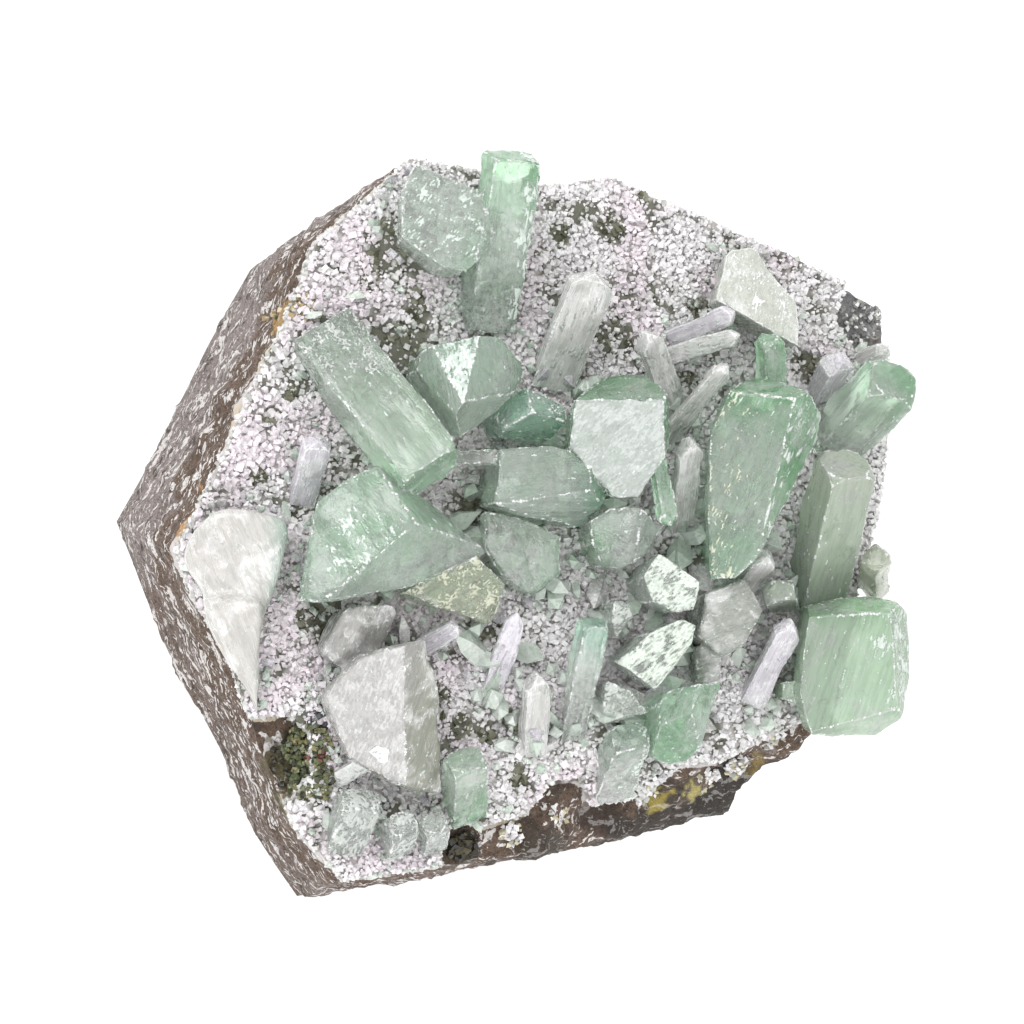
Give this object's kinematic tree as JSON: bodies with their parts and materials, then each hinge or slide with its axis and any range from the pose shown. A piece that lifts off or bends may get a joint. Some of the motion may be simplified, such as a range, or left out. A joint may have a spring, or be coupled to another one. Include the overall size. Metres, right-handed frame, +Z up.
{
  "type": "apophyllite specimen",
  "caption": "Mineral specimen on a broken basalt base: green, glassy apophyllite blocks and pale stilbite blades stand on a crust of fine white druse.",
  "frame": {"origin": "the middle of the specimen's box at its flat underside", "axes": "+Z is up, the way the crystal face looks; +X is the specimen's long side, to the right as the crystal face is seen with the pointed corner of the slab on the left; +Y is the top of that view"},
  "size_m": [0.108, 0.103, 0.0549],
  "materials": {
    "basalt": "broken, rough",
    "druse": "fine crystalline grains",
    "apophyllite_green": "glassy, partly milky",
    "apophyllite_clear": "glassy, clear to milky",
    "stilbite": "pearly, finely grooved"
  },
  "bodies": {
    "root": {"basalt_matrix": "basalt", "druse_crust": "druse", "apophyllite_top_pair": "apophyllite_green", "apophyllite_left_group": "apophyllite_green", "apophyllite_star_face": "apophyllite_green", "apophyllite_blue_point": "apophyllite_green", "apophyllite_centre_group": "apophyllite_green", "apophyllite_low_green": "apophyllite_clear", "apophyllite_round_tip": "apophyllite_green", "apophyllite_large_green": "apophyllite_green", "apophyllite_right_tower": "apophyllite_clear", "apophyllite_right_group": "apophyllite_green", "apophyllite_yellow_block": "apophyllite_clear", "apophyllite_clear_bar": "apophyllite_clear", "apophyllite_clear_block": "apophyllite_clear", "apophyllite_small_peak": "apophyllite_green", "apophyllite_lower_green": "apophyllite_green", "apophyllite_rim_left": "apophyllite_clear", "apophyllite_rim_middle": "apophyllite_clear", "apophyllite_rim_right": "apophyllite_clear", "stilbite_rim_mass": "stilbite", "stilbite_sheaf": "stilbite", "stilbite_plate": "stilbite", "stilbite_white_blocks": "stilbite", "apophyllite_shard_a": "apophyllite_clear", "apophyllite_shard_b": "apophyllite_clear", "apophyllite_shard_c": "apophyllite_clear", "apophyllite_shard_d": "apophyllite_clear", "stilbite_blade_top": "stilbite", "stilbite_blade_left": "stilbite", "stilbite_blade_across": "stilbite", "stilbite_blade_pair_upper": "stilbite", "stilbite_blade_pair_lower": "stilbite", "stilbite_blade_middle": "stilbite", "stilbite_blade_behind": "stilbite", "stilbite_blade_beside": "stilbite", "stilbite_blade_right_upper": "stilbite", "stilbite_blade_right_edge": "stilbite", "stilbite_blade_under_green": "stilbite", "stilbite_blade_lilac": "stilbite", "stilbite_blade_cracked": "stilbite", "stilbite_blade_pale": "stilbite"}
  },
  "joints": []
}
